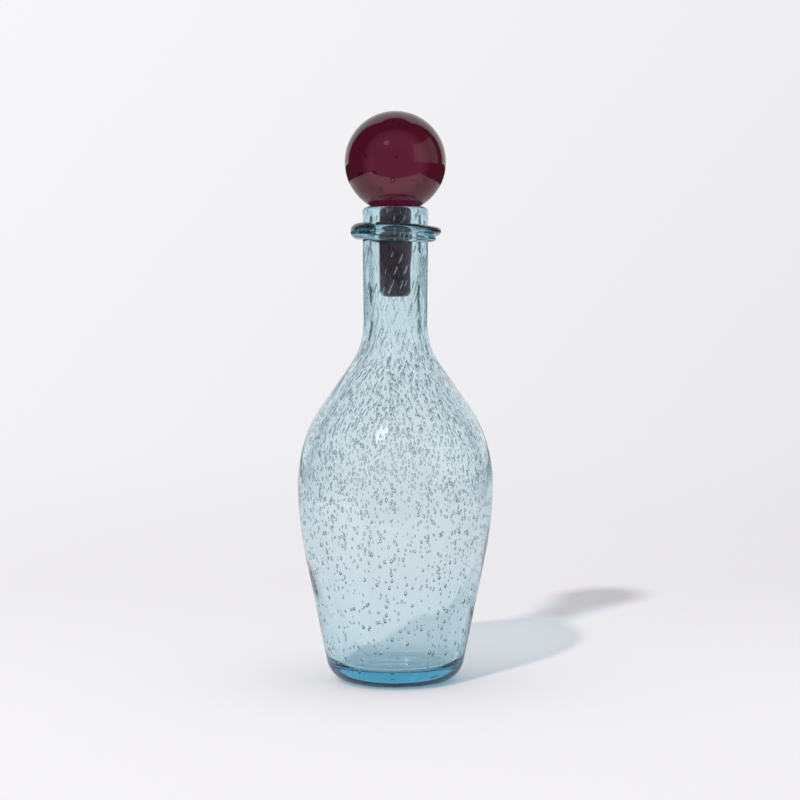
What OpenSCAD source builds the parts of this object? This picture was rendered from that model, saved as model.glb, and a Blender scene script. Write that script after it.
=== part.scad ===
// Hand-blown glass bottle with a round glass ball for a stopper.
// The bottle stands on z = 0 and its axis is the z axis. The front of the bottle looks along -Y.
// The outline of the body is one chain of round arcs joined by straight stretches that touch
// them, so each lean below is worked out from the two circles that it runs between.

/* [Body] */
// Widest diameter of the body
body_d = 102; // [90:0.5:115]
// Height of the widest place above the table
belly_z = 104; // [95:1:112]
// Radius of the long curve from the belly down the flank
flank_r = 190; // [150:5:240]
// Radius of the curve from the belly up to the shoulder
shoulder_r = 71; // [60:1:80]
// Lean of the shoulder's straight stretch away from upright, in degrees
shoulder_lean = 34.7; // [32:0.1:40]
// Thickness of the wall at the belly
wall = 3; // [2.4:0.1:4]

/* [Base] */
// Diameter of the flat ring that stands on the table
foot_d = 46.4; // [40:0.2:56]
// Radius of the rounded heel between foot and flank
heel_r = 13; // [9:0.5:15]
// Thickness of the solid glass under the cavity
base_t = 9.5; // [6:0.5:14]
// Diameter of the flat floor inside
floor_d = 52; // [44:0.5:58]
// Radius of the rounded corner inside, between floor and wall
inner_heel_r = 6; // [4:0.5:9]
// Diameter of the polished hollow where the bottle was cut from its rod
pontil_d = 28; // [20:1:34]
// Depth of that hollow
pontil_depth = 1.6; // [0.8:0.1:3]

/* [Neck] */
// Height of the mouth above the table
mouth_z = 248; // [240:1:270]
// Outer diameter of the neck where it leaves the shoulder
neck_d = 33; // [30:0.2:36]
// Outer diameter of the neck under its rim
rim_d = 34.2; // [31:0.2:37]
// Diameter of the bore through the neck
bore_d = 24; // [20:0.2:26]
// Radius of the hollow curve from the shoulder into the neck
neck_curve_r = 40; // [30:1:55]
// Radius of the melted inner edge of the mouth, on which the ball rests
lip_r = 2; // [1.2:0.1:3]

/* [Collar] */
// How far the collar's middle lies below the mouth
collar_drop = 14.1; // [11:0.1:24]
// How far the trail stands out from the neck
collar_out = 6.2; // [3:0.1:8]
// Height of the trail where it goes round alone
collar_h = 8.8; // [6:0.1:11]
// Height of the trail's first stretch, which lies above its own end
upper_h = 4.8; // [3.5:0.1:6.5]
// Height of the trail where it comes round below its own start
lower_h = 6.4; // [4:0.1:7]
// Height of the trail where its tail begins
tail_h = 3.8; // [2.5:0.1:5]
// Direction of the trail's blunt start, in degrees from the front to the right
collar_start = -33; // [-60:1:0]
// Angle that the trail runs round the neck before it has tapered out
collar_turn = 525; // [490:5:560]
// How much the collar is higher at front left than level, and lower at back right
collar_tilt = 1.7; // [0:0.1:2]

/* [Stopper] */
// Diameter of the ball
ball_d = 52.6; // [46:0.2:60]
// Diameter of the peg under the ball
peg_d = 16.6; // [12:0.2:19]
// Length of the peg below the ball's lowest point
peg_l = 43.3; // [25:0.1:55]
// Radius of the rounded end of the peg
peg_round = 3.5; // [1:0.5:5]
// Radius of the hollow curve where the peg flows into the ball
peg_fillet = 3; // [1:0.5:4]
// Gap between the resting ball and the melted edge of the mouth
seat_gap = 0.3; // [0.1:0.1:0.6]

/* [Hidden] */
$fn = 96;

arc_step = 3;                          // degrees between two points of an arc
body_r = body_d / 2;
neck_r = neck_d / 2;
rim_r = rim_d / 2;
bore_r = bore_d / 2;
ball_r = ball_d / 2;
peg_r = peg_d / 2;
neck_wall = rim_r - bore_r;
collar_z = mouth_z - collar_drop;
rim_round = neck_wall - lip_r;         // the rim is one round edge from outside to inside

// Height of the centre of a hollow curve of radius neck_curve_r that touches the upright wall at
// distance x from the axis and the shoulder's straight stretch, which touches the circle c, r
function curve_z(c, r, x) =
    let (out = [cos(shoulder_lean), sin(shoulder_lean)])
    (c * out + r + neck_curve_r - (x + neck_curve_r) * out[0]) / out[1];

// Centres of the outline's circles, each as [distance from the axis, height]
flank_c = [body_r - flank_r, belly_z];
heel_c = [foot_d / 2, heel_r];
shoulder_c = [body_r - shoulder_r, belly_z];
neck_c = [neck_r + neck_curve_r, curve_z(shoulder_c, shoulder_r, neck_r)];
inner_heel_c = [floor_d / 2, base_t + inner_heel_r];
inner_neck_c = [bore_r + neck_curve_r, curve_z(shoulder_c, shoulder_r - wall, bore_r)];
rim_c = [rim_r - rim_round, mouth_z - rim_round];
lip_c = [bore_r + lip_r, mouth_z - lip_r];

// The polished hollow is a slice of a sphere
pontil_r = pontil_d / 2;
pontil_ball_r = (pontil_r * pontil_r + pontil_depth * pontil_depth) / (2 * pontil_depth);
pontil_c = [0, pontil_depth - pontil_ball_r];

// The ball rests on the round edge of the mouth, so its height follows from the two radii
ball_z = lip_c[1] + sqrt(pow(ball_r + lip_r + seat_gap, 2) - pow(lip_c[0], 2));
peg_z = ball_z - ball_r - peg_l;
fillet_c = [peg_r + peg_fillet, ball_z - sqrt(pow(ball_r + peg_fillet, 2) - pow(peg_r + peg_fillet, 2))];

// Points of an arc about c, from angle a to angle b in steps of about arc_step
function arc(c, r, a, b) =
    let (n = max(2, ceil(abs(b - a) / arc_step)))
    [for (i = [0:n]) let (t = a + (b - a) * i / n) c + r * [cos(t), sin(t)]];

// Angle of the normal of the straight line that touches circle a, then circle b on the same side
function touch(a, ra, b, rb) =
    let (d = b - a) atan2(d[1], d[0]) + acos((ra - rb) / norm(d));

// 0 before a, 1 after b, and smooth between them
function ease(x, a, b) = let (t = min(1, max(0, (x - a) / (b - a)))) t * t * (3 - 2 * t);

// Outside of the bottle, from the centre of its underside up to the top of the rim
function outside() =
    let (flank_a = touch(flank_c, flank_r, heel_c, heel_r),
         hollow_a = atan2(-pontil_c[1], pontil_r))
    concat(
        arc(pontil_c, pontil_ball_r, 90, hollow_a),
        arc(heel_c, heel_r, -90, flank_a),
        arc(flank_c, flank_r, flank_a, 0),
        arc(shoulder_c, shoulder_r, arc_step, shoulder_lean),
        arc(neck_c, neck_curve_r, 180 + shoulder_lean, 180),
        arc(rim_c, rim_round, 0, 90));

// Inside of the bottle, from the top of the rim down to the centre of the cavity's floor
function inside() =
    let (wall_r = flank_r - wall,
         flank_a = touch(flank_c, wall_r, inner_heel_c, inner_heel_r))
    concat(
        arc(lip_c, lip_r, 90, 180),
        arc(inner_neck_c, neck_curve_r, 180, 180 + shoulder_lean),
        arc(shoulder_c, shoulder_r - wall, shoulder_lean, arc_step),
        arc(flank_c, wall_r, 0, flank_a),
        arc(inner_heel_c, inner_heel_r, flank_a, -90),
        [[0, base_t]]);

// Radius of the neck's outside at height z, where it runs straight up to the rim
function neck_at(z) = neck_r + (rim_r - neck_r) * (z - neck_c[1]) / (rim_c[1] - neck_c[1]);

// The trail at angle a along its run, as [height of its middle, its own height, how far it stands
// out]. It starts with a blunt swelling, high and thin, is full while it goes round alone, then
// sinks below its own start and thins to a tail.
function trail(a) =
    let (full = ease(a, collar_start + thin_turn, collar_start + full_turn),
         low = ease(a, lap_a - sink_turn, lap_a + sink_turn),
         thin = ease(a, lap_a + sink_turn, end_a - tail_turn / 2),
         tail = ease(a, end_a - tail_turn, end_a),
         swell = 1 - ease(a, collar_start, collar_start + swell_turn),
         tip = ease(a, collar_start - ring_step, collar_start + 2 * ring_step),
         up = ((collar_h - upper_h) / 2 + lap) * (1 - full),
         down = ((collar_h - lower_h) / 2 + lap) * low,
         h = collar_h + (upper_h - collar_h) * (1 - full) + (lower_h - collar_h) * low)
    [collar_z + collar_tilt * cos(a - high_side) + up - down - swell,
     (h + (tail_h - lower_h) * thin + swell_h * swell) * (1 - tail_thin * tail),
     collar_out * (1 + slack * (1 - full) - slack * low) * tip * (1 - tail)];

// How far a layer t of the trail stands out at height z
function stand(t, z) =
    let (away = abs(z - t[0]) * 2 / t[1]) away >= 1 ? 0 : t[2] * pow(1 - pow(away, lobe_n), 1 / lobe_n);

// Height of the crease between layer one and layer two below it, found between heights a and b
function meet(one, two, a, b, tries = 12) =
    let (m = (a + b) / 2)
    tries == 0 ? m :
    stand(one, m) > stand(two, m) ? meet(one, two, a, m, tries - 1) : meet(one, two, m, b, tries - 1);

// One ring of the collar in direction a, from its lower edge on the neck out and up to its upper
// edge. In the lap there are two layers, with a crease between them that runs out where one of
// the layers is thinner than merge_out.
function collar_ring(a) =
    let (one = trail(a), two = trail(a + 360), both = two[2] > 0,
         low = both ? min(one[0] - one[1] / 2, two[0] - two[1] / 2) : one[0] - one[1] / 2,
         high = both ? max(one[0] + one[1] / 2, two[0] + two[1] / 2) : one[0] + one[1] / 2,
         lapped = min(1, min(one[2], two[2]) / merge_out),
         crease = one[0] + (meet(one, two, two[0], one[0]) - one[0]) * lapped,
         zs = concat([for (i = [0:half_points]) low + (crease - low) * (1 - cos(90 * i / half_points))],
                     [for (i = [1:half_points]) crease + (high - crease) * sin(90 * i / half_points)]))
    [for (z = zs) let (r = neck_at(z) + max(stand(one, z), stand(two, z))) [r * sin(a), -r * cos(a), z]];

// A closed solid round a ring of rings, each with as many points as the next
module loop_sweep(rings) {
    n = len(rings[0]);
    count = len(rings);
    polyhedron(
        points = [for (ring = rings) each ring],
        faces = [for (i = [0:count - 1], j = [0:n - 1])
            let (k = (j + 1) % n, next = ((i + 1) % count) * n)
            each [[i * n + j, next + k, i * n + k], [i * n + j, next + j, next + k]]],
        convexity = 6);
}

// Angles along the trail's run
lap_a = collar_start + 360;            // it comes round beneath its own start
end_a = collar_start + collar_turn;    // it has tapered out
thin_turn = 103;                       // length of its thin first stretch
full_turn = 233;                       // it has grown to its full height
sink_turn = 25;                        // it sinks below its start, before lap_a and after it
swell_turn = 28;                       // length of the swelling at its start
swell_h = 1.6;                         // the swelling is this much taller
tail_turn = 75;                        // length of its tail
tail_thin = 0.6;                       // share of its height that the tail loses
high_side = -45;                       // direction in which the tilted collar is highest

lap = 0.5;                             // each layer reaches this far past the other's edge
slack = 0.1;                           // share by which the first layer stands out more, the last less
merge_out = 1.5;                       // a layer that stands out less than this melts into the other
lobe_n = 2.6;                          // 2 is a round lobe, more is a squarer one
half_points = 8;                       // points of a ring below the crease, and above it
ring_step = 4;                         // degrees between two rings

// The blown bottle: one gather of glass with a thick base, hollow body, neck and melted rim
module bottle() {
    color([0.72, 0.87, 0.92, 0.55])
        rotate_extrude() polygon(concat(outside(), inside()));
}

// The collar: a thread of hot glass laid round the neck, with its two ends lapped. Its inner face
// lies on the neck.
module neck_collar() {
    color([0.42, 0.68, 0.78, 0.8])
        loop_sweep([for (a = [collar_start:ring_step:collar_start + 359]) collar_ring(a)]);
}

// The ball of solid glass that closes the mouth
module stopper_ball() {
    color([0.36, 0.08, 0.2])
        translate([0, 0, ball_z]) sphere(r = ball_r);
}

// The peg that hangs from the ball into the neck and keeps the ball in its place
module stopper_peg() {
    flow_a = atan2(ball_z - fillet_c[1], -fillet_c[0]);
    color([0.2, 0.05, 0.12])
        difference() {
            rotate_extrude()
                polygon(concat(
                    [[0, peg_z]],
                    arc([peg_r - peg_round, peg_z + peg_round], peg_round, -90, 0),
                    arc(fillet_c, peg_fillet, 180, flow_a),
                    [[0, ball_z]]));
            translate([0, 0, ball_z]) sphere(r = ball_r);
        }
}

bottle();
neck_collar();
stopper_ball();
stopper_peg();
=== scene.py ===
"""A hand-blown bottle of pale blue bubbled glass, with a plum glass ball for a stopper.

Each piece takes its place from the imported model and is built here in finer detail. The bottle's
walls are turned round their outline and filled with bubbles, the collar is a trail of glass laid
round the neck, and the stopper is a solid ball on a peg. Lengths are in metres, and angles in
degrees.
"""

import logging
import math
from collections.abc import Sequence
from dataclasses import dataclass, field
from enum import Enum

import bpy
import numpy as np
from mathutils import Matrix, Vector


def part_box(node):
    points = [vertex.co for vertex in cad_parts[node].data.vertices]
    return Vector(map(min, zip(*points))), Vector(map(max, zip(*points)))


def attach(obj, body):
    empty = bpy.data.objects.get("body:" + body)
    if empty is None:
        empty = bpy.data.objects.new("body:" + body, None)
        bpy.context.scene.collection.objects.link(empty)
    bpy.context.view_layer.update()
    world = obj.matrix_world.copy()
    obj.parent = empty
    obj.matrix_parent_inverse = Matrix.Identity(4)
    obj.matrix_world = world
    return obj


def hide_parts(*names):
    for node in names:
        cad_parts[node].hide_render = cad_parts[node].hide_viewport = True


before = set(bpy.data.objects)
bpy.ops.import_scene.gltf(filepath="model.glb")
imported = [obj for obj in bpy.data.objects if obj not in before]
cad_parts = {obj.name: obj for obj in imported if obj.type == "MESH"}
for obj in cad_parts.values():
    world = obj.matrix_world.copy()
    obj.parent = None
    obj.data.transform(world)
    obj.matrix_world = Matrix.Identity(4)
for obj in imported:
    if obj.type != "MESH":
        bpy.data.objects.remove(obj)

log = logging.getLogger("bottle")

Point = tuple[float, float]
Number = "float | Value"


# Outlines


def arc(centre: Point, radius: float, start: float, end: float, step: float = 2.0) -> list[Point]:
    """Gives the points of a round arc.

    Args:
        centre: The arc's centre, as distance from the axis and height.
        radius: The arc's radius.
        start: Angle of its first point.
        end: Angle of its last point.
        step: The angle between two points, at most.

    Returns:
        The points from start to end.
    """
    count = max(2, math.ceil(abs(end - start) / step))
    turns = [math.radians(start + (end - start) * i / count) for i in range(count + 1)]
    return [(centre[0] + radius * math.cos(t), centre[1] + radius * math.sin(t)) for t in turns]


def touch(a: Point, radius_a: float, b: Point, radius_b: float) -> float:
    """Finds the straight line that touches two circles on the same side.

    Args:
        a: Centre of the first circle.
        radius_a: Its radius.
        b: Centre of the second circle.
        radius_b: Its radius.

    Returns:
        The angle of the line's normal.
    """
    across, up = b[0] - a[0], b[1] - a[1]
    lean = math.acos((radius_a - radius_b) / math.hypot(across, up))
    return math.degrees(math.atan2(up, across) + lean)


def closer(points: Sequence[Point], longest: float) -> np.ndarray:
    """Puts points into an outline so that no two lie further apart than a given length.

    Args:
        points: The outline's points in order.
        longest: The longest step that is left.

    Returns:
        The outline as an array of distance from the axis and height.
    """
    made = [points[0]]
    for start, end in zip(points, points[1:]):
        count = max(1, math.ceil(math.dist(start, end) / longest))
        made += [
            tuple(s + (e - s) * i / count for s, e in zip(start, end)) for i in range(1, count + 1)
        ]
    return np.array(made)


def turned(profile: np.ndarray, segments: int) -> tuple[np.ndarray, list[tuple[int, ...]]]:
    """Turns an outline round the axis into a closed skin.

    Args:
        profile: The outline, which begins and ends on the axis.
        segments: How many faces go round.

    Returns:
        The vertices and the faces, which point outwards for an outline that runs from the
        underside out and up.
    """
    turn = np.arange(segments) * 2 * np.pi / segments
    rings = profile[1:-1]
    verts = np.stack(
        [
            np.outer(rings[:, 0], np.cos(turn)).ravel(),
            np.outer(rings[:, 0], np.sin(turn)).ravel(),
            np.repeat(rings[:, 1], segments),
        ],
        axis=1,
    )
    verts = np.concatenate([verts, [[0, 0, profile[0, 1]], [0, 0, profile[-1, 1]]]])
    first, last, low, high = len(verts) - 2, len(verts) - 1, 0, (len(rings) - 1) * segments
    faces = []
    for j in range(segments):
        k = (j + 1) % segments
        faces.append((first, low + k, low + j))
        faces += [
            (i * segments + j, i * segments + k, (i + 1) * segments + k, (i + 1) * segments + j)
            for i in range(len(rings) - 1)
        ]
        faces.append((last, high + j, high + k))
    return verts, faces


def new_object(name: str, verts: np.ndarray, faces: Sequence[tuple[int, ...]]) -> bpy.types.Object:
    """Makes an object at the origin from vertices and faces, and shades it smooth.

    Args:
        name: The object's name.
        verts: Its vertices.
        faces: Its faces, as indices of vertices.

    Returns:
        The object, linked to the scene.
    """
    mesh = bpy.data.meshes.new(name)
    mesh.from_pydata([tuple(v) for v in verts], [], [tuple(f) for f in faces])
    mesh.shade_smooth()
    obj = bpy.data.objects.new(name, mesh)
    bpy.context.scene.collection.objects.link(obj)
    return obj


# Node trees written as expressions


class Value:
    """A socket of a node tree that holds a number, with Python's operators for its maths."""

    def __init__(self, graph: "Graph", socket: bpy.types.NodeSocket) -> None:
        """Keeps the tree and the socket."""
        self.graph = graph
        self.socket = socket

    def __add__(self, other: Number) -> "Value":
        """Gives self + other."""
        return self.graph.maths("ADD", self, other)

    __radd__ = __add__

    def __sub__(self, other: Number) -> "Value":
        """Gives self - other."""
        return self.graph.maths("SUBTRACT", self, other)

    def __rsub__(self, other: Number) -> "Value":
        """Gives other - self."""
        return self.graph.maths("SUBTRACT", other, self)

    def __mul__(self, other: Number) -> "Value":
        """Gives self * other."""
        return self.graph.maths("MULTIPLY", self, other)

    __rmul__ = __mul__

    def __truediv__(self, other: Number) -> "Value":
        """Gives self / other."""
        return self.graph.maths("DIVIDE", self, other)

    def __rtruediv__(self, other: Number) -> "Value":
        """Gives other / self."""
        return self.graph.maths("DIVIDE", other, self)

    def __pow__(self, other: Number) -> "Value":
        """Gives self to the power other."""
        return self.graph.maths("POWER", self, other)

    def __lt__(self, other: Number) -> "Value":
        """Gives 1 where self is less than other, and 0 elsewhere."""
        return self.graph.maths("LESS_THAN", self, other)

    def __gt__(self, other: Number) -> "Value":
        """Gives 1 where self is more than other, and 0 elsewhere."""
        return self.graph.maths("GREATER_THAN", self, other)


class Graph:
    """A node tree with one method that adds any node."""

    def __init__(self, tree: bpy.types.NodeTree) -> None:
        """Keeps the tree."""
        self.tree = tree

    def node(self, kind: str, settings: dict | None = None, sockets: dict | None = None) -> bpy.types.Node:
        """Adds a node.

        Args:
            kind: The node's type.
            settings: Its properties, which are set before its sockets. A colour ramp's stops are
                given as "stops", a list of position and colour.
            sockets: Values or links for its inputs, by name or by number.

        Returns:
            The node.
        """
        made = self.tree.nodes.new(kind)
        for name, value in (settings or {}).items():
            if name == "stops":
                for i, (place, colour) in enumerate(value):
                    stop = made.color_ramp.elements[i] if i < 2 else made.color_ramp.elements.new(place)
                    stop.position, stop.color = place, colour
            else:
                setattr(made, name, value)
        for key, value in (sockets or {}).items():
            self.feed(self.find(made.inputs, key), value)
        return made

    @staticmethod
    def find(sockets: Sequence[bpy.types.NodeSocket], key: str | int) -> bpy.types.NodeSocket:
        """Finds a socket in use, by its name or its number."""
        return sockets[key] if isinstance(key, int) else next(s for s in sockets if s.enabled and s.name == key)

    def feed(self, target: bpy.types.NodeSocket, value: object) -> None:
        """Links a socket or a wrapped socket to target, or sets a plain value on it."""
        if isinstance(value, Value):
            value = value.socket
        if isinstance(value, bpy.types.NodeSocket):
            self.tree.links.new(value, target)
        else:
            target.default_value = value

    def out(self, made: bpy.types.Node, key: str | int = 0) -> Value:
        """Wraps one of a node's outputs."""
        return Value(self, self.find(made.outputs, key))

    def maths(self, operation: str, *values: Number) -> Value:
        """Adds a Math node for an operation on numbers."""
        return self.out(self.node("ShaderNodeMath", {"operation": operation}, dict(enumerate(values))))

    def smooth(self, value: Number, start: float, end: float) -> Value:
        """Gives 0 before start, 1 past end, and a smooth way between them."""
        rising = start < end
        low, high = (start, end) if rising else (end, start)
        made = self.node(
            "ShaderNodeMapRange",
            {"interpolation_type": "SMOOTHSTEP"},
            {"Value": value, "From Min": low, "From Max": high, "To Min": 1.0 - rising, "To Max": float(rising)},
        )
        return self.out(made, "Result")

    def blend(self, share: Number, first: object, second: object) -> bpy.types.NodeSocket:
        """Mixes two colours by a share of the second."""
        made = self.node("ShaderNodeMix", {"data_type": "RGBA"}, {"Factor": share, "A": first, "B": second})
        return self.find(made.outputs, "Result")

    def xyz(self, vector: object) -> tuple[Value, Value, Value]:
        """Splits a vector into its three numbers."""
        made = self.node("ShaderNodeSeparateXYZ", sockets={"Vector": vector})
        return tuple(self.out(made, i) for i in range(3))


class Form(Graph):
    """A Geometry Nodes tree with named inputs, which is put on an object and made a plain mesh."""

    def __init__(self, name: str) -> None:
        """Makes the tree with its geometry input and output."""
        super().__init__(bpy.data.node_groups.new(name, "GeometryNodeTree"))
        for way in ("INPUT", "OUTPUT"):
            self.tree.interface.new_socket("Geometry", in_out=way, socket_type="NodeSocketGeometry")
        self.source = self.node("NodeGroupInput")
        self.sink = self.node("NodeGroupOutput")

    def ask(self, name: str, kind: str = "Float") -> Value:
        """Adds a named input of a kind such as Float, Int, Object or Material."""
        self.tree.interface.new_socket(name, in_out="INPUT", socket_type="NodeSocket" + kind)
        return self.out(self.source, name)

    def own(self, name: str, kind: str = "FLOAT") -> Value:
        """Reads an attribute that the geometry carries."""
        return self.out(self.node("GeometryNodeInputNamedAttribute", {"data_type": kind}, {"Name": name}))

    def chance(self, low: Number, high: Number, seed: Number) -> Value:
        """Gives each point its own number between low and high."""
        return self.out(
            self.node("FunctionNodeRandomValue", {"data_type": "FLOAT"}, {"Min": low, "Max": high, "Seed": seed}),
            "Value",
        )

    def finish(self, geometry: object, material: object) -> None:
        """Ends the tree with real meshes in one material."""
        real = self.node("GeometryNodeRealizeInstances", sockets={"Geometry": geometry})
        smooth = self.node("GeometryNodeSetShadeSmooth", sockets={"Geometry": real.outputs[0]})
        dressed = self.node("GeometryNodeSetMaterial", sockets={"Geometry": smooth.outputs[0], "Material": material})
        self.feed(self.sink.inputs[0], dressed.outputs[0])

    def settle(self, obj: bpy.types.Object, values: dict[str, object]) -> bpy.types.Object:
        """Puts the tree on an object and leaves the result as the object's plain mesh.

        Args:
            obj: The object that the tree starts from.
            values: The tree's inputs by name.

        Returns:
            The object.
        """
        modifier = obj.modifiers.new("form", "NODES")
        modifier.node_group = self.tree
        for item in self.tree.interface.items_tree:
            if item.item_type == "SOCKET" and item.in_out == "INPUT" and item.name in values:
                modifier[item.identifier] = values[item.name]
        depsgraph = bpy.context.evaluated_depsgraph_get()
        mesh = bpy.data.meshes.new_from_object(obj.evaluated_get(depsgraph), depsgraph=depsgraph)
        obj.modifiers.remove(modifier)
        obj.data = mesh
        mesh.name = obj.name
        return obj


# Finishes


class Tint(Enum):
    """What is left of red, green and blue light after one millimetre of each glass."""

    BLUE = (0.960, 0.985, 0.9915)
    PLUM = (0.961, 0.923, 0.940)
    # Painted shade: a far darker copy of the plum glass, which makes the peg in the neck nearly black.
    DEEP_PLUM = (0.815, 0.740, 0.780)


@dataclass(frozen=True)
class Glass:
    """A clear coloured glass with the faint swell of a blown surface."""

    name: str
    tint: Tint
    shade: tuple[float, float, float]
    swell: float = 0.00002
    swell_size: float = 0.012
    # Painted shade: a colour blended in where the surface turns away from the view, which darkens the rim.
    edge: tuple[float, float, float] = (1.0, 1.0, 1.0)
    ior: float = 1.5

    def soak(self) -> tuple[tuple[float, float, float, float], float]:
        """Works out the volume's colour and density from the tint.

        Returns:
            The colour and the density of an absorbing volume.
        """
        taken = [-math.log(left) * 1000 for left in self.tint.value]
        density = max(taken) * 1.02
        return (*(1 - t / density for t in taken), 1.0), density

    def material(self) -> bpy.types.Material:
        """Builds the material.

        Returns:
            Clear glass with a coloured volume, which lets some lamplight through its shadow. A darker edge colour is
            painted shade: it darkens the glass where its surface turns away from the view.
        """
        material = bpy.data.materials.new(self.name)
        material.use_nodes = True
        graph = Graph(material.node_tree)
        graph.tree.nodes.clear()
        place = graph.node("ShaderNodeTexCoord")
        noise = graph.node(
            "ShaderNodeTexNoise",
            {"noise_dimensions": "3D"},
            {"Vector": place.outputs["Object"], "Scale": 1 / self.swell_size, "Detail": 1.5, "Roughness": 0.4},
        )
        bump = graph.node(
            "ShaderNodeBump",
            sockets={"Strength": 1.0, "Distance": self.swell, "Height": graph.out(noise, 0)},
        )
        # Painted shade: the glass takes the darker edge colour where its surface turns away from the view.
        slant = graph.out(graph.node("ShaderNodeLayerWeight", sockets={"Blend": 0.5}), "Facing")
        body = graph.blend(graph.smooth(slant, 0.09, 0.27), (1.0, 1.0, 1.0, 1.0), (*self.edge, 1.0))
        clear = graph.node(
            "ShaderNodeBsdfPrincipled",
            sockets={
                "Base Color": body if min(self.edge) < 1 else (1.0, 1.0, 1.0, 1.0),
                "Roughness": 0.0,
                "IOR": self.ior,
                "Transmission Weight": 1.0,
                "Normal": bump.outputs[0],
            },
        )
        through = graph.node("ShaderNodeBsdfTransparent", sockets={"Color": (*self.shade, 1.0)})
        path = graph.node("ShaderNodeLightPath")
        skin = graph.node(
            "ShaderNodeMixShader",
            sockets={0: graph.out(path, "Is Shadow Ray"), 1: clear.outputs[0], 2: through.outputs[0]},
        )
        colour, density = self.soak()
        inside = graph.node("ShaderNodeVolumeAbsorption", sockets={"Color": colour, "Density": density})
        graph.node("ShaderNodeOutputMaterial", sockets={"Surface": skin.outputs[0], "Volume": inside.outputs[0]})
        return material


# The bottle


@dataclass(frozen=True)
class Seeds:
    """How the bubbles look at one height of the bottle."""

    height: float
    width: float
    length: float
    crowd: float
    lean: float = 0.0


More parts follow.
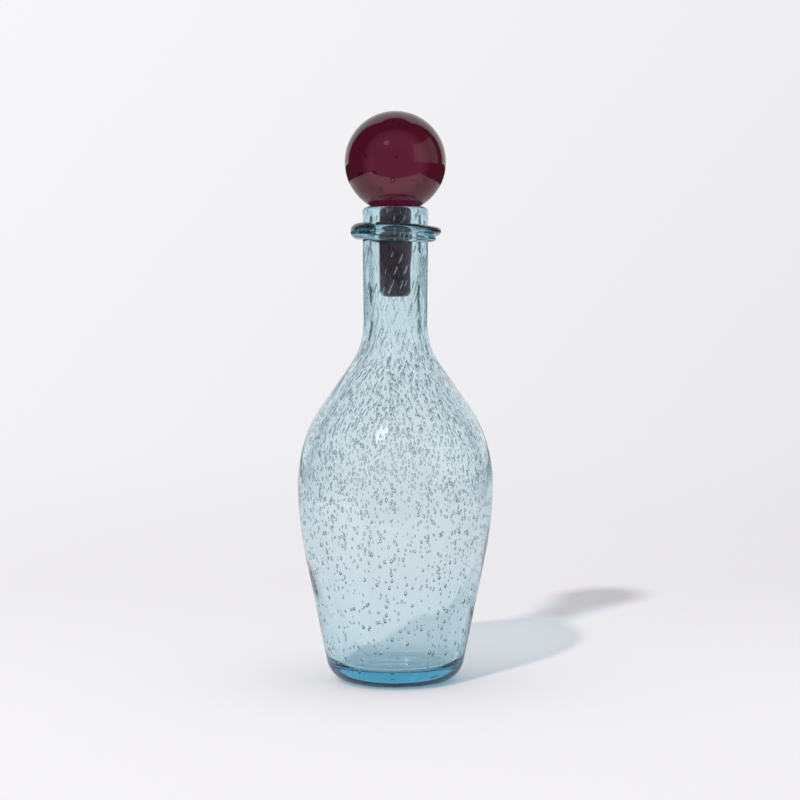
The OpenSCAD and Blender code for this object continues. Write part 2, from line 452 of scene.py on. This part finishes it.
@dataclass
class Bottle:
    """The blown bottle: a thick base, a hollow body, a long neck and a melted rim."""

    finish: Glass
    belly_z: float = 0.104
    flank_r: float = 0.190
    shoulder_r: float = 0.071
    shoulder_lean: float = 34.7
    wall: float = 0.003
    foot_r: float = 0.0232
    heel_r: float = 0.013
    base_t: float = 0.0095
    floor_r: float = 0.026
    inner_heel_r: float = 0.006
    pontil_r: float = 0.014
    pontil_depth: float = 0.0016
    neck_r: float = 0.0165
    rim_r: float = 0.0171
    bore_r: float = 0.012
    neck_curve_r: float = 0.040
    lip_r: float = 0.002
    segments: int = 104
    step: float = 0.0028
    ripple: float = 0.00016
    seeds: tuple[Seeds, ...] = (
        Seeds(0.004, 0.0011, 0.0014, 0.08),
        Seeds(0.020, 0.0016, 0.0022, 0.17),
        Seeds(0.060, 0.0016, 0.0023, 0.22),
        Seeds(0.088, 0.0014, 0.0023, 0.34),
        Seeds(0.112, 0.0013, 0.0024, 0.55),
        Seeds(0.140, 0.0012, 0.0029, 0.65, 6),
        Seeds(0.165, 0.0011, 0.0042, 0.70, 10),
        Seeds(0.190, 0.0008, 0.0070, 0.42, 17),
        Seeds(0.225, 0.0008, 0.0060, 0.36, 17),
        Seeds(0.245, 0.0007, 0.0028, 0.30, 12),
    )
    body_r: float = field(init=False)
    mouth_z: float = field(init=False)

    def __post_init__(self) -> None:
        """Takes the widest place and the height from the frame, and places the outline's circles."""
        low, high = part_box("bottle")
        self.body_r, self.mouth_z = (high.y - low.y) / 2, high.z
        self.flank_c = (self.body_r - self.flank_r, self.belly_z)
        self.shoulder_c = (self.body_r - self.shoulder_r, self.belly_z)
        self.heel_c = (self.foot_r, self.heel_r)
        self.neck_c = (self.neck_r + self.neck_curve_r, self.curve_z(self.shoulder_r, self.neck_r))
        self.inner_heel_c = (self.floor_r, self.base_t + self.inner_heel_r)
        self.inner_neck_c = (
            self.bore_r + self.neck_curve_r,
            self.curve_z(self.shoulder_r - self.wall, self.bore_r),
        )
        self.rim_round = self.rim_r - self.bore_r - self.lip_r
        self.rim_c = (self.rim_r - self.rim_round, self.mouth_z - self.rim_round)
        self.lip_c = (self.bore_r + self.lip_r, self.mouth_z - self.lip_r)
        self.ball_of_pontil = (self.pontil_r**2 + self.pontil_depth**2) / (2 * self.pontil_depth)

    def curve_z(self, radius: float, upright: float) -> float:
        """Finds the height of a neck curve's centre.

        Args:
            radius: Radius of the shoulder's circle that the straight stretch touches.
            upright: Distance of the neck's wall from the axis.

        Returns:
            The height at which the curve touches both.
        """
        across, up = math.cos(math.radians(self.shoulder_lean)), math.sin(math.radians(self.shoulder_lean))
        reach = self.shoulder_c[0] * across + self.shoulder_c[1] * up + radius + self.neck_curve_r
        return (reach - (upright + self.neck_curve_r) * across) / up

    def outside(self) -> list[Point]:
        """Gives the outline from the middle of the underside up to the top of the rim."""
        centre = (0.0, self.pontil_depth - self.ball_of_pontil)
        edge = math.degrees(math.atan2(-centre[1], self.pontil_r))
        flank = touch(self.flank_c, self.flank_r, self.heel_c, self.heel_r)
        return [
            *arc(centre, self.ball_of_pontil, 90, edge, 3),
            *arc(self.heel_c, self.heel_r, -90, flank, 5),
            *arc(self.flank_c, self.flank_r, flank, 0),
            *arc(self.shoulder_c, self.shoulder_r, 2, self.shoulder_lean),
            *arc(self.neck_c, self.neck_curve_r, 180 + self.shoulder_lean, 180, 3),
            *arc(self.rim_c, self.rim_round, 0, 90, 9),
        ]

    def inside(self) -> list[Point]:
        """Gives the outline from the top of the rim down to the middle of the floor inside."""
        flank = touch(self.flank_c, self.flank_r - self.wall, self.inner_heel_c, self.inner_heel_r)
        return [
            *arc(self.lip_c, self.lip_r, 90, 180, 11),
            *arc(self.inner_neck_c, self.neck_curve_r, 180, 180 + self.shoulder_lean, 3),
            *arc(self.shoulder_c, self.shoulder_r - self.wall, self.shoulder_lean, 2),
            *arc(self.flank_c, self.flank_r - self.wall, 0, flank),
            *arc(self.inner_heel_c, self.inner_heel_r, flank, -90, 9),
            (0.0, self.base_t),
        ]

    def neck_at(self, height: Number) -> Number:
        """Gives the radius of the neck's outside where it runs straight up to the rim."""
        rise = (self.rim_r - self.neck_r) / (self.rim_c[1] - self.neck_c[1])
        return self.neck_r + rise * (height - self.neck_c[1])

    def walls(self) -> bpy.types.Object:
        """Turns the outline into the bare bottle, whose inner face has the ripples of blown glass.

        Returns:
            The bottle without its bubbles.
        """
        outer, inner = closer(self.outside(), self.step), closer(self.inside(), self.step)
        verts, faces = turned(np.concatenate([outer, inner[1:]]), self.segments)
        first = (len(outer) - 1) * self.segments
        hollow = verts[first:-2]
        turn = np.arctan2(hollow[:, 1], hollow[:, 0])
        reach = np.hypot(hollow[:, 0], hollow[:, 1])
        height = hollow[:, 2]
        draw = np.random.default_rng(11)
        wave = np.zeros(len(hollow))
        for round_waves, up_waves in ((2, 18), (3, 31), (5, 12), (7, 22), (9, 40), (13, 26)):
            phase = draw.uniform(0, 2 * np.pi)
            wave += np.sin(round_waves * turn + 2 * np.pi * up_waves * height + phase) / (round_waves + 2)
        still = np.clip((self.mouth_z - 0.004 - height) / 0.01, 0, 1) * np.clip((height - self.base_t) / 0.02, 0, 1)
        grown = 1 + self.ripple * 2 * wave * still / reach
        hollow[:, :2] *= grown[:, None]
        return new_object("bottle_glass", verts, faces)

    def middle(self) -> tuple[np.ndarray, np.ndarray]:
        """Finds the middle of the wall from the heel up to the rim.

        Returns:
            The middle's points, and how far the wall reaches from each to either side.
        """
        outer, inner = closer(self.outside(), 0.002), closer(self.inside(), 0.0004)
        outer = outer[(outer[:, 0] > self.pontil_r) & (outer[:, 1] < self.mouth_z - 0.003) & (outer[:, 1] > 0.003)]
        away = np.linalg.norm(outer[:, None] - inner[None], axis=2)
        near = inner[away.argmin(1)]
        return (outer + near) / 2, away.min(1) / 2

    def sheet(self) -> bpy.types.Object:
        """Unrolls the middle of the wall into a flat sheet on which every bubble is equally big.

        Each point of the sheet carries its real place, the ways out and along the wall, and the
        size of the bubbles there.

        Returns:
            The sheet.
        """
        path, room = self.middle()
        tangent = np.gradient(path, axis=0)
        tangent /= np.linalg.norm(tangent, axis=1)[:, None]
        heights = [s.height for s in self.seeds]
        facts = {
            name: np.interp(path[:, 1], heights, [getattr(s, name) for s in self.seeds])
            for name in ("width", "length", "crowd", "lean")
        }
        steps = np.linalg.norm(np.diff(path, axis=0), axis=1) / ((facts["length"][1:] + facts["length"][:-1]) / 2)
        up = np.concatenate([[0], np.cumsum(steps)])
        columns = 180
        turn = np.linspace(0, 2 * np.pi, columns + 1)
        rows = len(path)
        across = np.outer(path[:, 0] / facts["width"], turn - np.pi)
        flat = np.stack([across, np.repeat(up[:, None], columns + 1, 1), np.zeros_like(across)], 2)
        faces = [
            (i * (columns + 1) + j, i * (columns + 1) + j + 1, (i + 1) * (columns + 1) + j + 1, (i + 1) * (columns + 1) + j)
            for i in range(rows - 1)
            for j in range(columns)
        ]
        obj = new_object("bottle", flat.reshape(-1, 3), faces)

        def around(reach: np.ndarray, rise: np.ndarray) -> np.ndarray:
            """Turns distances from the axis and heights into points or ways all round."""
            return np.stack(
                [np.outer(reach, np.sin(turn)), -np.outer(reach, np.cos(turn)), np.repeat(rise[:, None], columns + 1, 1)], 2
            )

        ways = {
            "place": around(path[:, 0], path[:, 1]),
            "along": around(tangent[:, 0], tangent[:, 1]),
            "outward": around(tangent[:, 1], -tangent[:, 0]),
        }
        for name, values in ways.items():
            obj.data.attributes.new(name, "FLOAT_VECTOR", "POINT").data.foreach_set("vector", values.ravel())
        for name, values in {**facts, "room": room}.items():
            obj.data.attributes.new(name, "FLOAT", "POINT").data.foreach_set("value", np.repeat(values, columns + 1))
        return obj

    def bubbled(self) -> Form:
        """Builds the tree that scatters bubbles over the sheet and shuts them into the walls.

        Returns:
            The tree, whose inputs are the walls, the bubbles' spacing and seed, and the finish.
        """
        form = Form("bubbles_in_the_wall")
        walls = form.ask("Walls", "Object")
        spacing, skin, seed = form.ask("Spacing"), form.ask("Least Skin"), form.ask("Seed", "Int")
        material = form.ask("Material", "Material")
        points = form.node(
            "GeometryNodeDistributePointsOnFaces",
            {"distribute_method": "POISSON"},
            {
                "Mesh": form.source.outputs[0],
                "Distance Min": spacing,
                "Density Max": 6.0,
                "Density Factor": form.own("crowd"),
                "Seed": seed,
            },
        )
        outward, along = form.own("outward", "FLOAT_VECTOR"), form.own("along", "FLOAT_VECTOR")
        room = form.own("room")
        grown = form.chance(0.45, 1.0, seed + 1) ** 1.0 * form.chance(0.8, 1.35, seed + 2)
        width, length = form.own("width") * grown, form.own("length") * grown * form.chance(0.8, 1.2, seed + 3)
        thick = form.maths("MINIMUM", width * 0.8, (room - skin) * 2)
        deep = (room - skin - thick / 2) * form.chance(-1.0, 1.0, seed + 4)
        offset = form.node("ShaderNodeVectorMath", {"operation": "SCALE"}, {"Vector": outward, "Scale": deep})
        placed = form.node(
            "GeometryNodeSetPosition",
            sockets={
                "Geometry": points.outputs["Points"],
                "Position": form.own("place", "FLOAT_VECTOR"),
                "Offset": offset.outputs[0],
            },
        )
        upright = form.node("FunctionNodeAlignRotationToVector", {"axis": "Z"}, {"Vector": along})
        facing = form.node(
            "FunctionNodeAlignRotationToVector",
            {"axis": "X", "pivot_axis": "Z"},
            {"Rotation": upright.outputs[0], "Vector": outward},
        )
        leaning = form.node(
            "FunctionNodeAxisAngleToRotation",
            sockets={
                "Axis": (1.0, 0.0, 0.0),
                "Angle": (form.own("lean") + form.chance(-5.0, 5.0, seed + 5)) * (-math.pi / 180),
            },
        )
        rotation = form.node(
            "FunctionNodeRotateRotation",
            {"rotation_space": "LOCAL"},
            {"Rotation": facing.outputs[0], "Rotate By": leaning.outputs[0]},
        )
        size = form.node("ShaderNodeCombineXYZ", sockets={0: thick, 1: width, 2: length})
        bubble = form.node("GeometryNodeMeshUVSphere", sockets={"Segments": 8, "Rings": 3, "Radius": 0.5})
        many = form.node(
            "GeometryNodeInstanceOnPoints",
            sockets={
                "Points": placed.outputs[0],
                "Instance": bubble.outputs["Mesh"],
                "Rotation": rotation.outputs[0],
                "Scale": size.outputs[0],
            },
        )
        real = form.node("GeometryNodeRealizeInstances", sockets={"Geometry": many.outputs[0]})
        hollow = form.node("GeometryNodeFlipFaces", sockets={"Mesh": real.outputs[0]})
        shell = form.node("GeometryNodeObjectInfo", sockets={"Object": walls})
        joined = form.node("GeometryNodeJoinGeometry")
        form.feed(joined.inputs[0], shell.outputs["Geometry"])
        form.feed(joined.inputs[0], hollow.outputs[0])
        form.finish(joined.outputs[0], material)
        return form

    def build(self) -> bpy.types.Object:
        """Makes the bottle with its bubbles and puts it in the CAD bottle's place.

        Returns:
            The bottle.
        """
        walls, bottle = self.walls(), self.sheet()
        form = self.bubbled()
        values = {
            "Walls": walls,
            "Spacing": 1.05,
            "Least Skin": 0.00022,
            "Seed": 4,
            "Material": self.finish.material(),
        }
        form.settle(bottle, values)
        bottle.name = "blown_bottle"
        bpy.data.objects.remove(walls)
        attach(bottle, "bottle")
        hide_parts("bottle")
        return bottle


# The collar


@dataclass
class Collar:
    """The trail of hot glass laid round the neck, once round and on beneath its own start."""

    finish: Glass
    bottle: Bottle
    drop: float = 0.0141
    out: float = 0.0062
    height: float = 0.0088
    upper: float = 0.0048
    lower: float = 0.0064
    tail: float = 0.0038
    start: float = -33.0
    turn: float = 525.0
    tilt: float = 0.0017
    high_side: float = -45.0
    thin_turn: float = 103.0
    full_turn: float = 233.0
    sink_turn: float = 25.0
    swell_turn: float = 28.0
    swell: float = 0.0016
    tail_turn: float = 75.0
    tail_thin: float = 0.6
    lap: float = 0.0005
    slack: float = 0.1
    lobe: float = 2.6
    sunk: float = 0.0001
    rings: int = 180
    points: int = 56

    def trail(self, form: Form, turn: Value) -> tuple[Value, Value, Value]:
        """Follows the trail along its run.

        Args:
            form: The tree that works it out.
            turn: The angle along the run, from the front to the right.

        Returns:
            The height of the trail's middle, its own height, and how far it stands out.
        """
        lap_at, end = self.start + 360, self.start + self.turn
        ring_step = 4.0
        full = form.smooth(turn, self.start + self.thin_turn, self.start + self.full_turn)
        low = form.smooth(turn, lap_at - self.sink_turn, lap_at + self.sink_turn)
        thin = form.smooth(turn, lap_at + self.sink_turn, end - self.tail_turn / 2)
        tail = form.smooth(turn, end - self.tail_turn, end)
        swell = form.smooth(turn, self.start + self.swell_turn, self.start)
        tip = form.smooth(turn, self.start - ring_step, self.start + 2 * ring_step)
        up = ((self.height - self.upper) / 2 + self.lap) * (1 - full)
        down = ((self.height - self.lower) / 2 + self.lap) * low
        tall = self.height + (self.upper - self.height) * (1 - full) + (self.lower - self.height) * low
        level = self.bottle.mouth_z - self.drop
        tilted = self.tilt * form.maths("COSINE", (turn - self.high_side) * (math.pi / 180))
        return (
            level + tilted + up - down - 0.001 * swell,
            (tall + (self.tail - self.lower) * thin + self.swell * swell) * (1 - self.tail_thin * tail),
            self.out * (1 + self.slack * (1 - full) - self.slack * low) * tip * (1 - tail),
        )

    def stand(self, form: Form, layer: tuple[Value, Value, Value], height: Value) -> Value:
        """Gives how far a layer of the trail stands out at a height."""
        away = form.maths("MINIMUM", form.maths("ABSOLUTE", height - layer[0]) * 2 / layer[1], 1.0)
        return layer[2] * form.maths("MAXIMUM", 1 - away**self.lobe, 0.0) ** (1 / self.lobe)

    def laid(self) -> Form:
        """Builds the tree that bends a flat grid into the collar.

        Returns:
            The tree, whose inputs are the grid's counts and the finish.
        """
        form = Form("laid_collar")
        rings, points = form.ask("Rings", "Int"), form.ask("Points", "Int")
        material = form.ask("Material", "Material")
        grid = form.node(
            "GeometryNodeMeshGrid",
            sockets={"Size X": 1.0, "Size Y": 1.0, "Vertices X": rings + 1, "Vertices Y": points + 3},
        )
        across, up, _ = form.xyz(form.node("GeometryNodeInputPosition").outputs[0])
        turn = self.start + (across + 0.5) * 360
        step = (up + 0.5) * (points + 2)
        one, two = self.trail(form, turn), self.trail(form, turn + 360)
        both = two[2] > 1e-6
        under = two[0] - two[1] / 2
        bottom = one[0] - one[1] / 2
        low = bottom + (form.maths("MINIMUM", bottom, under) - bottom) * both
        high = one[0] + one[1] / 2
        back = step > (points + 0.5)
        share = form.maths("MINIMUM", step / points, 1.0)
        along = (1 - form.maths("COSINE", share * math.pi)) / 2
        back_share = form.maths("MAXIMUM", step - points - 1, 0.0)
        height = (low + (high - low) * along) * (1 - back) + (high + (low - high) * back_share) * back
        proud = form.maths("MAXIMUM", self.stand(form, one, height), self.stand(form, two, height))
        radius = self.bottle.neck_at(height) + proud * (1 - back) - self.sunk * back
        angle = turn * (math.pi / 180)
        place = form.node(
            "ShaderNodeCombineXYZ",
            sockets={
                0: radius * form.maths("SINE", angle),
                1: radius * form.maths("COSINE", angle) * -1,
                2: height,
            },
        )
        bent = form.node("GeometryNodeSetPosition", sockets={"Geometry": grid.outputs["Mesh"], "Position": place.outputs[0]})
        closed = form.node("GeometryNodeMergeByDistance", sockets={"Geometry": bent.outputs[0], "Distance": 1e-6})
        form.finish(closed.outputs[0], material)
        return form

    def build(self) -> bpy.types.Object:
        """Makes the collar and puts it in the CAD collar's place.

        Returns:
            The collar.
        """
        collar = new_object("laid_collar", np.zeros((0, 3)), [])
        form = self.laid()
        form.settle(collar, {"Rings": self.rings, "Points": self.points, "Material": self.finish.material()})
        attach(collar, "bottle")
        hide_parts("neck_collar")
        return collar


# The stopper


@dataclass
class Stopper:
    """The solid ball on the mouth, and the peg that hangs from it into the neck."""

    ball_finish: Glass
    peg_finish: Glass
    peg_r: float = 0.0083
    peg_round: float = 0.0035
    peg_fillet: float = 0.003
    sunk: float = 0.0001
    segments: int = 96

    def __post_init__(self) -> None:
        """Takes the ball and the peg's end from the frame."""
        low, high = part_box("stopper_ball")
        self.ball_r, self.ball_z = (high.z - low.z) / 2, (high.z + low.z) / 2
        self.peg_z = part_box("stopper_peg")[0].z

    def seeded(self, name: str) -> Form:
        """Builds the tree that shuts bubbles into a solid round piece.

        Args:
            name: The tree's name.

        Returns:
            The tree. Its inputs are the space that the bubbles fill, their number, size and
            length, the seed and the finish.
        """
        form = Form(name)
        count, seed = form.ask("Count", "Int"), form.ask("Seed", "Int")
        reach, low, high = form.ask("Reach"), form.ask("Low"), form.ask("High")
        round_share, size, length = form.ask("Roundness"), form.ask("Size"), form.ask("Length")
        material = form.ask("Material", "Material")
        turn = form.chance(0.0, 2 * math.pi, seed)
        share = form.chance(-1.0, 1.0, seed + 1)
        away = form.chance(0.0, 1.0, seed + 2) ** 0.5
        narrowed = (1 - share * share * round_share) ** 0.5
        radius = reach * away * narrowed
        place = form.node(
            "ShaderNodeCombineXYZ",
            sockets={
                0: radius * form.maths("COSINE", turn),
                1: radius * form.maths("SINE", turn),
                2: (low + high) / 2 + (high - low) / 2 * share,
            },
        )
        points = form.node("GeometryNodePoints", sockets={"Count": count, "Position": place.outputs[0]})
        grown = size * form.chance(0.3, 1.0, seed + 3) ** 2
        stretched = form.node("ShaderNodeCombineXYZ", sockets={0: grown, 1: grown, 2: grown * length})
        tipped = form.node(
            "ShaderNodeCombineXYZ",
            sockets={0: form.chance(-0.25, 0.25, seed + 4), 1: form.chance(-0.25, 0.25, seed + 5)},
        )
        bubble = form.node("GeometryNodeMeshUVSphere", sockets={"Segments": 8, "Rings": 5, "Radius": 0.5})
        many = form.node(
            "GeometryNodeInstanceOnPoints",
            sockets={
                "Points": points.outputs[0],
                "Instance": bubble.outputs["Mesh"],
                "Rotation": tipped.outputs[0],
                "Scale": stretched.outputs[0],
            },
        )
        real = form.node("GeometryNodeRealizeInstances", sockets={"Geometry": many.outputs[0]})
        hollow = form.node("GeometryNodeFlipFaces", sockets={"Mesh": real.outputs[0]})
        joined = form.node("GeometryNodeJoinGeometry")
        form.feed(joined.inputs[0], form.source.outputs[0])
        form.feed(joined.inputs[0], hollow.outputs[0])
        form.finish(joined.outputs[0], material)
        return form

    def ball(self) -> bpy.types.Object:
        """Makes the ball with a few bubbles in it.

        Returns:
            The ball.
        """
        profile = np.array(arc((0.0, self.ball_z), self.ball_r, -90, 90, 3))
        ball = new_object("plum_ball", *turned(profile, self.segments))
        values = {
            "Count": 34,
            "Seed": 21,
            "Reach": self.ball_r * 0.88,
            "Low": self.ball_z - self.ball_r * 0.88,
            "High": self.ball_z + self.ball_r * 0.7,
            "Roundness": 1.0,
            "Size": 0.0017,
            "Length": 1.0,
            "Material": self.ball_finish.material(),
        }
        return self.seeded("bubbles_in_the_ball").settle(ball, values)

    def peg(self) -> bpy.types.Object:
        """Makes the peg, whose top follows the ball from inside and whose glass is full of streaks.

        Returns:
            The peg.
        """
        hollow_x = self.peg_r + self.peg_fillet
        fillet_c = (hollow_x, self.ball_z - math.sqrt((self.ball_r + self.peg_fillet) ** 2 - hollow_x**2))
        flow = math.degrees(math.atan2(self.ball_z - fillet_c[1], -fillet_c[0]))
        inner = self.ball_r - self.sunk
        edge = arc(fillet_c, self.peg_fillet, 180, flow, 6)
        edge_angle = math.degrees(math.atan2(edge[-1][1] - self.ball_z, edge[-1][0]))
        outline = [
            (0.0, self.peg_z),
            *arc((self.peg_r - self.peg_round, self.peg_z + self.peg_round), self.peg_round, -90, 0, 9),
            *edge,
            *arc((0.0, self.ball_z), inner, edge_angle, -90, 3),
        ]
        peg = new_object("plum_peg", *turned(closer(outline, 0.002), self.segments))
        values = {
            "Count": 420,
            "Seed": 5,
            "Reach": self.peg_r * 0.9,
            "Low": self.peg_z + 0.002,
            "High": self.ball_z - self.ball_r - 0.002,
            "Roundness": 0.0,
            "Size": 0.0009,
            "Length": 2.6,
            "Material": self.peg_finish.material(),
        }
        return self.seeded("streaks_in_the_peg").settle(peg, values)

    def build(self) -> list[bpy.types.Object]:
        """Makes ball and peg and puts them in their CAD nodes' places.

        Returns:
            The two pieces.
        """
        pieces = []
        for piece, node, slot in (
            (self.ball(), "stopper_ball", "ball_glass"),
            (self.peg(), "stopper_peg", "peg_glass"),
        ):
            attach(piece, "stopper")
            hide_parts(node)
            pieces.append(piece)
        return pieces


# The studio


@dataclass
class Studio:
    """A white table before a pale backdrop, a soft lamp high at front left, and the camera."""

    camera_at: tuple[float, float, float] = (0.0024, -1.277, 0.2478)
    look_down: float = 4.5
    lens: float = 110.5
    lamp_way: tuple[float, float, float] = (0.315, 0.67, -0.66)
    lamp_strength: float = 1.53
    lamp_angle: float = 3.0
    ambient: float = 0.645
    floor_colour: float = 0.93
    backdrop: float = 0.875
    dark: float = 0.045
    table_front: float = -0.37
    table_left: float = -0.70
    table_right: float = 0.58
    pale: tuple[float, float, float, float] = (0.990, 0.980, 1.0, 1.0)
    path_depth: int = 48

    def camera(self) -> None:
        """Puts the camera where the photograph was taken from."""
        data = bpy.data.cameras.new("camera")
        data.lens = self.lens
        data.sensor_width = 36.0
        camera = bpy.data.objects.new("camera", data)
        camera.location = self.camera_at
        camera.rotation_euler = (math.radians(90 - self.look_down), 0, 0)
        bpy.context.scene.collection.objects.link(camera)
        bpy.context.scene.camera = camera

    def lamp(self) -> None:
        """Hangs the lamp, which throws the shadow to the back right."""
        data = bpy.data.lights.new("lamp", "SUN")
        data.energy = self.lamp_strength
        data.angle = math.radians(self.lamp_angle)
        lamp = bpy.data.objects.new("lamp", data)
        lamp.rotation_euler = Vector(self.lamp_way).to_track_quat("-Z", "Y").to_euler()
        lamp.visible_glossy = False
        lamp.visible_transmission = False
        bpy.context.scene.collection.objects.link(lamp)

    def room(self) -> None:
        """Builds the world: pale behind the bottle, dark behind the camera, with a panel on the right."""
        world = bpy.data.worlds.new("room")
        bpy.context.scene.world = world
        world.use_nodes = True
        world.cycles.sampling_method = "NONE"
        graph = Graph(world.node_tree)
        graph.tree.nodes.clear()
        way = graph.node("ShaderNodeTexCoord").outputs["Generated"]
        path = graph.node("ShaderNodeLightPath")
        x, y, z = graph.xyz(way)
        level = graph.maths("MAXIMUM", graph.maths("SQRT", x * x + y * y), 1e-4)
        ahead = y / level
        behind = graph.smooth(ahead, 0.64, 0.72) * graph.smooth(z, 0.91, 0.87)
        turn_to_panel = (x * 0.98 - y * 0.19) / level
        panel = graph.smooth(turn_to_panel, 0.80, 0.86) * graph.smooth(z, 0.60, 0.56) * graph.smooth(z, -0.30, -0.26)
        spot_at = -Vector(self.lamp_way).normalized()
        toward_lamp = x * spot_at.x + y * spot_at.y + z * spot_at.z
        spot = graph.smooth(toward_lamp, math.cos(math.radians(7)), math.cos(math.radians(3)))
        mirrored = self.dark + (self.backdrop - self.dark) * behind + 0.45 * panel + 1.2 * spot
        bounced = 0.12 + 0.23 * graph.smooth(ahead, 0.0, -0.5) + (self.backdrop - 0.12) * behind + 0.45 * panel + 12.0 * spot
        straight = 0.35 + (self.backdrop - 0.35) * graph.smooth(z, 0.92, 0.80)
        seen = self.seen(x, z)

        def choose(share: Value, no: Number, yes: Number) -> Value:
            """Gives no where share is 0, and yes where it is 1."""
            return no + (yes - no) * share

        glass = choose(graph.out(path, "Glossy Depth") > 0.5, straight, bounced)
        other = choose(graph.out(path, "Is Reflection Ray"), glass, mirrored)
        lit = choose(graph.out(path, "Diffuse Depth") > 0.5, other, self.ambient)
        strength = choose(graph.out(path, "Is Camera Ray"), lit, seen)
        light = graph.node("ShaderNodeBackground", sockets={"Color": self.pale, "Strength": strength})
        graph.node("ShaderNodeOutputWorld", sockets={"Surface": light.outputs[0]})

    @staticmethod
    def seen(across: Value, up: Value) -> Value:
        """Gives how bright the backdrop looks to the camera in a direction."""
        side = across.graph.maths("MAXIMUM", across.graph.maths("MINIMUM", across, 0.2), -0.2)
        rise = up.graph.maths("MAXIMUM", up.graph.maths("MINIMUM", up, 0.15), -0.15)
        return 0.89 + 0.22 * rise - 0.26 * side

    def floor(self) -> None:
        """Lays the white table, which fades into the backdrop far behind and ends before the bottle. Painted shade
        darkens its colour towards the right and the back. In reflections it is painted darker, with a dark sheet
        past its edges.
        """
        half, size = 12.0, 0.0002
        floor = new_object("floor", [(-half, -half, -size), (half, -half, -size), (half, half, -size), (-half, half, -size)], [(0, 1, 2, 3)])
        material = bpy.data.materials.new("white_table")
        material.use_nodes = True
        graph = Graph(material.node_tree)
        graph.tree.nodes.clear()
        x, y, _ = graph.xyz(graph.node("ShaderNodeTexCoord").outputs["Object"])
        path = graph.node("ShaderNodeLightPath")
        # Painted shade: the table's colour darkens towards the right and towards the back, as the light falls off.
        painted_falloff_tone = (self.floor_colour - 0.09 * x) * (1.045 - 0.10 * graph.smooth(y, -0.12, 0.36))
        grey = graph.node("ShaderNodeCombineXYZ", sockets={i: painted_falloff_tone * self.pale[i] for i in range(3)})
        paper = graph.node("ShaderNodeBsdfDiffuse", sockets={"Color": grey.outputs[0]})
        dx, dy = x - self.camera_at[0], y - self.camera_at[1]
        reach = graph.maths("SQRT", dx * dx + dy * dy + self.camera_at[2] ** 2)
        seen = self.seen(dx / reach, -self.camera_at[2] / reach)
        far = graph.node("ShaderNodeEmission", sockets={"Color": self.pale, "Strength": seen})
        # Painted shade: a dark sheet that reflections see past the table's edges.
        painted_dark_sheet = graph.node("ShaderNodeEmission", sockets={"Strength": self.dark})
        away = graph.maths("SQRT", x * x + y * y)
        fading = graph.node(
            "ShaderNodeMixShader",
            sockets={0: graph.smooth(away, 0.5, 1.3), 1: paper.outputs[0], 2: far.outputs[0]},
        )
        reflected = graph.maths(
            "MAXIMUM",
            graph.out(path, "Is Reflection Ray"),
            graph.out(path, "Is Transmission Ray") * (graph.out(path, "Glossy Depth") > 0.5) * 0.3,
        )
        on_table = (
            graph.smooth(y, self.table_front - 0.02, self.table_front + 0.02)
            * graph.smooth(x, self.table_left - 0.03, self.table_left + 0.03)
            * graph.smooth(x, self.table_right + 0.03, self.table_right - 0.03)
        )
        # Painted shade: in reflections the table is painted a fifth darker, and past its edges it is the dark sheet.
        past = reflected * (1 - 0.8 * on_table) * (graph.out(path, "Diffuse Depth") < 0.5)
        cut = graph.node("ShaderNodeMixShader", sockets={0: past, 1: fading.outputs[0], 2: painted_dark_sheet.outputs[0]})
        graph.node("ShaderNodeOutputMaterial", sockets={"Surface": cut.outputs[0]})
        floor.data.materials.append(material)

    def build(self) -> None:
        """Sets up camera, lamp, room and floor, and how deep light is followed into the glass."""
        scene = bpy.context.scene
        scene.view_settings.view_transform = "Standard"
        scene.cycles.max_bounces = self.path_depth
        scene.cycles.transmission_bounces = self.path_depth
        scene.cycles.glossy_bounces = 16
        scene.cycles.transparent_max_bounces = 64
        self.camera()
        self.lamp()
        self.room()
        self.floor()


def main() -> None:
    """Builds the studio and every piece of the object, and writes down how big it came out."""
    logging.basicConfig(level=logging.INFO, format="%(message)s")
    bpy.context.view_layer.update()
    Studio().build()
    blue = Glass("pale_blue_glass", Tint.BLUE, (0.86, 0.89, 0.90))
    trail = Glass("blue_trail_glass", Tint.BLUE, (0.80, 0.84, 0.86), swell=0.00005, swell_size=0.006)
    # The plum glass's edge colour is painted shade that darkens the ball's rim.
    plum = Glass("plum_glass", Tint.PLUM, (0.25, 0.10, 0.15), 0.000004, 0.02, edge=(0.30, 0.03, 0.11))
    # The peg's glass is painted shade: a darker copy of the plum glass.
    deep = Glass("deep_plum_glass", Tint.DEEP_PLUM, (0.15, 0.08, 0.10), swell=0.00003, swell_size=0.005)
    bottle = Bottle(blue)
    pieces = [bottle.build(), Collar(trail, bottle).build(), *Stopper(plum, deep).build()]
    for piece in pieces:
        triangles = sum(len(p.vertices) - 2 for p in piece.data.polygons)
        log.info("%s: %d triangles", piece.name, triangles)


if __name__ == "__main__":
    main()
